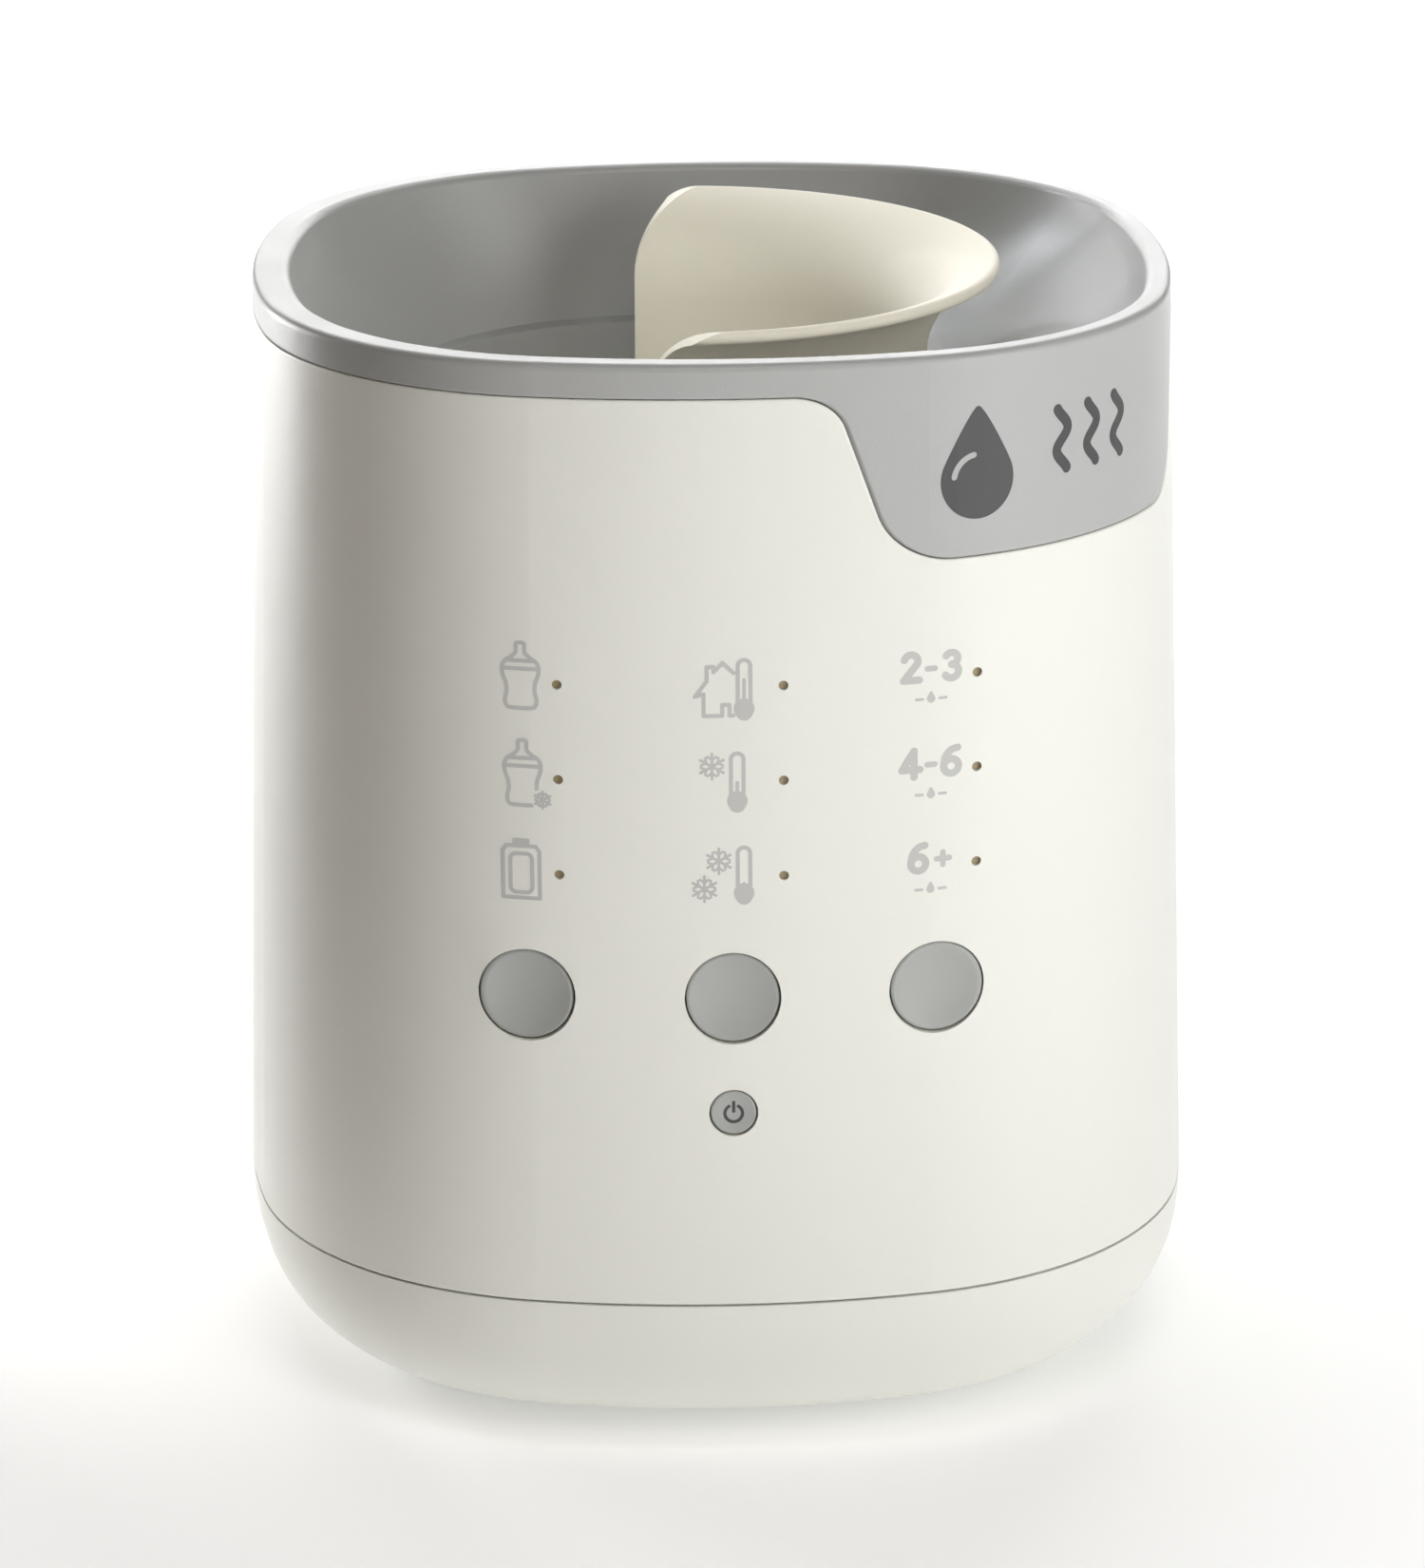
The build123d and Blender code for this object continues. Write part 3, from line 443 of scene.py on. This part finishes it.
def draw_bottle(ink, x, z):
    """Feeding bottle with a teat and a collar; its foot is at z and its height is about 10 mm."""
    teat = [(0.55, 10.05), (0.62, 9.2), (0.75, 8.5), (1.5, 7.8), (2.35, 7.2)]
    body = [(2.75, 6.2), (2.6, 5.0), (2.2, 3.9), (2.1, 2.6), (2.35, 1.3), (2.2, 0.4), (1.5, 0.0)]
    outline = curve(mirrored(teat + body), steps=5, closed=True)
    ink.line([(x + px, z + pz) for px, pz in outline], ICON_LINE, closed=True)
    for reach, height in ((2.1, 7.35), (2.6, 6.1)):
        ink.line([(x - reach, z + height), (x + reach, z + height)], ICON_LINE)


def draw_thermometer(ink, x, low, high, level):
    """Thermometer with its bulb at low, its tip at high and its liquid rising level above low."""
    bulb = 1.55
    ink.edge(ink.plate((x - 0.95, low), (x + 0.95, high), corner=0.93), ICON_LINE)
    ink.cut(ink.plate((x - 0.6, low), (x + 0.6, low + 3.0)))
    ink.add(ink.disc(x, low + bulb, bulb))
    ink.line([(x, low + bulb), (x, low + level)], LIQUID_LINE)


def draw_snowflake(ink, x, z, radius):
    """Six arms, each with a pair of barbs half way along it."""
    reach = 0.42 * radius
    for turn in range(6):
        angle = math.radians(90 + 60 * turn)
        ux, uz = math.cos(angle), math.sin(angle)
        ink.line([(x, z), (x + radius * ux, z + radius * uz)], SNOW_LINE)
        fork_x, fork_z = x + 0.5 * radius * ux, z + 0.5 * radius * uz
        for side in (-1, 1):
            barb = angle + side * math.radians(52)
            tip = (fork_x + reach * math.cos(barb), fork_z + reach * math.sin(barb))
            ink.line([(fork_x, fork_z), tip], BARB_LINE)


def draw_drop(ink, x, z, radius):
    """Filled drop with its point upward; radius is that of its round end."""
    ink.add(ink.disc(x, z, radius))
    steps = 14
    for step in range(1, steps + 1):
        share = step / steps
        ink.add(ink.disc(x, z + radius * 1.9 * share, radius * (1 - share) ** 0.85 + 0.02))


def draw_digit(ink, digit, x):
    """A bold figure about 4.4 mm tall, its middle at x."""
    strokes = {
        "2": [arc(0, 1.0, 1.05, 165, -25) + [(-1.15, -1.95), (1.25, -1.95)]],
        "3": [arc(0, 0.98, 0.95, 150, -85), arc(0, -0.98, 1.08, 90, -150)],
        "4": [[(0.5, -2.1), (0.5, 2.0), (-1.35, -0.95), (1.4, -0.95)]],
        "6": [arc(0, -0.85, 1.15, 0, 360), curve([(-1.13, -0.7), (-0.85, 0.7), (0.0, 1.7), (1.0, 2.0)])],
        "-": [[(-0.6, -0.3), (0.6, -0.3)]],
        "+": [[(-1.0, -0.3), (1.0, -0.3)], [(0.0, -1.3), (0.0, 0.7)]],
    }
    for stroke in strokes[digit]:
        ink.line([(x + px, pz) for px, pz in stroke], SIGN_LINE if digit in "-+" else DIGIT_LINE)


def bottle_mark(ink):
    """Feeding bottle."""
    draw_bottle(ink, 0.0, -5.1)


def chilled_bottle_mark(ink):
    """Feeding bottle with a small snowflake cut free of it, at its foot."""
    x, z = 2.75, -4.4
    draw_bottle(ink, -0.2, -5.3)
    ink.cut(ink.disc(x, z, 1.7))
    draw_snowflake(ink, x, z, 1.3)


def pouch_mark(ink):
    """Milk pouch with a screw cap and a window."""
    half = [(0.0, 4.0), (2.2, 4.0), (2.75, 3.2), (2.75, -4.2), (0.0, -4.2)]
    ink.line(mirrored(half)[:-1], ICON_LINE, closed=True)
    ink.add(ink.plate((-1.3, 4.0), (1.3, 5.2), corner=0.3))
    ink.edge(ink.plate((-1.65, -3.35), (1.65, 2.8), corner=0.9), ICON_LINE)


def room_temperature_mark(ink):
    """Small house with a chimney and a door, open at its right where the thermometer stands."""
    roof = [(-3.2, -4.0), (-3.2, -0.6), (-4.5, -1.0), (-2.7, 1.4), (-2.7, 3.6), (-1.7, 3.6), (-1.7, 2.8)]
    roof += [(-0.3, 4.2), (1.3, 2.6)]
    ink.line(roof, ICON_LINE)
    ink.line([(-3.2, -4.0), (-0.4, -4.0), (-0.4, -2.3), (0.7, -2.3), (0.7, -4.0), (1.3, -4.0)], ICON_LINE)
    ink.cut(ink.plate((1.55, -4.9), (4.25, 5.2), corner=1.3))
    draw_thermometer(ink, 2.9, low=-4.5, high=4.6, level=6.0)


def chilled_mark(ink):
    """One snowflake and a thermometer."""
    draw_snowflake(ink, -1.6, 2.4, 2.0)
    draw_thermometer(ink, 2.2, low=-4.6, high=4.4, level=4.4)


def frozen_mark(ink):
    """Two snowflakes and a thermometer."""
    draw_snowflake(ink, -0.9, 2.3, 2.0)
    draw_snowflake(ink, -3.1, -2.1, 2.0)
    draw_thermometer(ink, 2.9, low=-4.3, high=4.4, level=3.0)


def feed_mark(ink, figures):
    """Figures over a plain drop between two dashes."""
    pitch = 3.1 if len(figures) == 3 else 3.8
    for index, figure in enumerate(figures):
        draw_digit(ink, figure, (index - (len(figures) - 1) / 2) * pitch)
    foot = -5.0
    draw_drop(ink, 0.0, foot, 0.62)
    for side in (-1, 1):
        ink.line([(side * 1.3, foot), (side * 2.3, foot)], DASH_LINE)


def make_casing_prints(print_ink):
    """Pale marks in three columns beside the lights, on the casing's front."""
    cell = 0.12
    icons = (
        # name, centre, half width, half height, artwork
        ("print_bottle", (-31.5, 127.4), 3.6, 5.8, bottle_mark),
        ("print_chilled_bottle", (-31.2, 112.4), 4.4, 6.2, chilled_bottle_mark),
        ("print_pouch", (-31.8, 96.6), 3.6, 6.0, pouch_mark),
        ("print_room_temperature", (-1.0, 125.6), 5.2, 5.2, room_temperature_mark),
        ("print_chilled", (-1.4, 111.3), 4.8, 5.2, chilled_mark),
        ("print_frozen", (-1.15, 96.5), 5.2, 5.2, frozen_mark),
    )
    for name, centre, half_width, half_height, artwork in icons:
        ink = Ink(centre, half_width, half_height, cell)
        artwork(ink)
        printed(name, ink, "outer_casing", print_ink)
    for name, figures, z in (("small", "2-3", 127.7), ("medium", "4-6", 112.7), ("large", "6+", 97.7)):
        ink = Ink((30.2, z), 5.4, 7.0, cell)
        feed_mark(ink, figures)
        printed("print_" + name + "_feed", ink, "outer_casing", print_ink)


def round_corner(along):
    """X of a point on the front right corner's arc, that far round the body's front from its middle."""
    return CORNER_X + CORNER_R * math.sin((along - CORNER_START) / CORNER_R + CORNER_TURN)


def make_tab_mark(dark_ink):
    """Plain mark on the grey tab: a water drop with a highlight, and three wavy heat lines."""
    ink = Ink((37.4, 158.5), 7.4, 10.4, cell=0.22)
    foot = -2.6
    draw_drop(ink, 0.0, foot, 6.0)
    highlight = arc(0.0, foot, 3.9, 100, 170)
    ink.cut(ink.along(highlight) - 0.45)
    printed("tab_mark_drop", ink, "water_tank", dark_ink, wrap=round_corner)

    ink = Ink((59.0, 160.0), 9.6, 6.6, cell=0.2)
    swing, pitch = 1.1, 6.4
    heights = [0.25 * step for step in range(-16, 17)]
    for index in range(3):
        x = -pitch + pitch * index
        ink.line([(x + swing * math.sin(height * 1.05), height * 1.15) for height in heights], WAVE_LINE)
    printed("tab_mark_heat", ink, "water_tank", dark_ink, wrap=round_corner)


def make_power_symbol(dark_ink):
    """Standard power symbol on the small button: a broken ring and an upright stroke."""
    ink = Ink((0.0, 58.5), 2.3, 2.5, cell=0.06)
    ink.line(arc(0.0, -0.2, 1.35, 122, 418, steps=40), SYMBOL_LINE)
    ink.line([(0.0, 0.1), (0.0, 1.6)], SYMBOL_LINE)
    printed("power_symbol", ink, "power_button", dark_ink, body="power_button", proud=0.02)


def make_prints():
    """The printed marks, each in its ink."""
    pale = moulded("print_ink_pale", PRINT, 0.5, grain=0.004, tone=0.02)
    dark = moulded("print_ink_dark", DARK_PRINT, 0.45, grain=0.004, tone=0.04)
    make_casing_prints(pale)
    make_tab_mark(dark)
    make_power_symbol(dark)


# ---------------------------------------------------------------- stage, lights and camera
def outward(azimuth, elevation):
    """Direction from the object, by angles in degrees. Azimuth 0 is the front, and 90 is +X."""
    turn = math.radians(azimuth)
    lift = math.radians(elevation)
    return Vector((math.sin(turn) * math.cos(lift), -math.cos(turn) * math.cos(lift), math.sin(lift)))


def softbox(name, azimuth, elevation, distance, size, power, aim, colour=(1.0, 1.0, 1.0), spread=180.0):
    """Rectangular lamp that shines at a point from that direction, unseen by the camera."""
    out = outward(azimuth, elevation)
    data = bpy.data.lights.new(name, "AREA")
    data.shape = "RECTANGLE"
    data.size, data.size_y = size
    data.energy = power
    data.color = colour
    data.spread = math.radians(spread)
    lamp = bpy.data.objects.new(name, data)
    lamp.location = aim + out * distance
    lamp.rotation_euler = out.to_track_quat("Z", "Y").to_euler()
    lamp.visible_camera = False
    bpy.context.scene.collection.objects.link(lamp)


def sheet(name, corners):
    """One flat face with four corners, linked into the scene."""
    mesh = bpy.data.meshes.new(name)
    mesh.from_pydata(corners, [], [(0, 1, 2, 3)])
    flat = bpy.data.objects.new(name, mesh)
    bpy.context.scene.collection.objects.link(flat)
    return flat


def floor_paint():
    """Nearly white paint that glows more the farther it is from the object."""
    shader = Shader("floor_paint")
    drift = shader.noise(scale=3.0, detail=2.0)
    shader.dress(colour=shader.blend(drift, linear(246, 246, 246), linear(250, 250, 250)))
    away = shader.add("ShaderNodeVectorMath", operation="LENGTH")
    shader.link(shader.place, away.inputs[0])
    glow = shader.add("ShaderNodeMapRange", interpolation_type="SMOOTHSTEP")
    for key, value in zip(("From Min", "From Max", "To Min", "To Max"), FLOOR_GLOW_FROM + FLOOR_GLOW):
        glow.inputs[key].default_value = value
    shader.link(away.outputs["Value"], glow.inputs["Value"])
    shader.link(glow.outputs["Result"], shader.surface.inputs["Emission Strength"])
    shader.surface.inputs["Emission Color"].default_value = (1.0, 1.0, 1.0, 1.0)
    return shader.finish(0.9, specular=0.1)


def felt(name):
    """Dark felt with a slow nap."""
    shader = Shader(name)
    nap = shader.noise(scale=40.0, detail=3.0)
    shader.dress(colour=shader.blend(nap, linear(58, 44, 28), linear(66, 50, 32)))
    return shader.finish(0.95, specular=0.05)


def make_floor():
    """Large pale floor that the object stands on."""
    half = FLOOR_HALF
    floor = sheet("floor", [(-half, -half, 0), (half, -half, 0), (half, half, 0), (-half, half, 0)])
    floor.data.materials.append(floor_paint())


def make_flag(name, start, stop, height):
    """Dark card standing on the floor beside the object, to hold light back from that side."""
    card = sheet(name, [(*start, 0.0), (*stop, 0.0), (*stop, height), (*start, height)])
    card.data.materials.append(felt(name + "_felt"))
    card.visible_camera = False


def make_world():
    """Unlit surroundings: the lamps and the floor's glow are the only light."""
    world = bpy.data.worlds.new("studio")
    world.use_nodes = True
    background = world.node_tree.nodes["Background"]
    background.inputs["Color"].default_value = (1.0, 1.0, 1.0, 1.0)
    background.inputs["Strength"].default_value = 0.0
    bpy.context.scene.world = world


def light_scene():
    """Studio light: keys from the right, a strip behind the left side, lamps behind and over the rim."""
    body = Vector((0.0, 0.0, TOP * 0.5))
    scoop = Vector((63.0, -4.0, 168.0)) * MM
    basket = Vector((8.0, 22.0, 148.0)) * MM
    far_floor = Vector((0.0, 1.25, 0.0))
    near_floor = Vector((0.0, -0.5, 0.0))
    # Just short of straight up, where an azimuth still turns the lamp.
    overhead = 89.9
    # Each lamp's azimuth and elevation, distance, size, power in watts, and what it is aimed at.
    softbox("key", 55, 22, 1.1, (0.7, 0.7), 2.75, body)
    softbox("key_low", 45, 12, 1.1, (0.5, 0.5), 2.35, body)
    softbox("left_strip", -128, 6, 0.9, (0.35, 0.5), 6.1, body)
    softbox("front_top", 10, 50, 1.1, (0.5, 0.5), 2.15, body, colour=(1.0, 0.965, 0.9))
    softbox("rim_light", 178, 19, 1.0, (1.0, 0.3), 4.2, body)
    softbox("back_top", 180, 50, 1.0, (0.9, 0.5), 4.2, body)
    softbox("scoop_spark", -132, 29, 0.8, (0.05, 0.05), 0.010, scoop, colour=(0.9, 0.95, 1.0), spread=13)
    softbox("basket_snoot", -8, 48, 0.8, (0.04, 0.04), 0.0042, basket, spread=7)
    softbox("far_floor_wash", 180, overhead, 0.9, (0.9, 0.9), 3.0, far_floor, spread=70)
    softbox("near_floor_wash", 0, overhead, 0.9, (1.5, 0.35), 2.7, near_floor, spread=50)


def make_camera():
    """Long-lens camera a metre away, looking down at the body and rolled by a hair."""
    data = bpy.data.cameras.new("camera")
    data.sensor_fit = "VERTICAL"
    data.sensor_height = 36.0
    data.lens = CAMERA_LENS
    camera = bpy.data.objects.new("camera", data)
    turn = math.radians(CAMERA_AZIMUTH)
    roll = math.radians(CAMERA_ROLL)
    back = outward(CAMERA_AZIMUTH, CAMERA_ELEVATION)
    level = Vector((math.cos(turn), math.sin(turn), 0.0))
    upright = back.cross(level)
    right = level * math.cos(roll) + upright * math.sin(roll)
    up = upright * math.cos(roll) - level * math.sin(roll)
    place = Matrix((right, up, back)).transposed().to_4x4()
    place.translation = CAMERA_TARGET + back * CAMERA_DISTANCE
    camera.matrix_world = place
    bpy.context.scene.collection.objects.link(camera)
    bpy.context.scene.camera = camera


make_camera()
make_floor()
make_flag("left_flag", start=(-0.17, 0.02), stop=(-0.15, -0.60), height=0.45)
make_world()
light_scene()
paint_mouldings()
paint_electrics()
paint_metals_and_seals()
make_prints()
bpy.context.scene.view_settings.view_transform = "Standard"
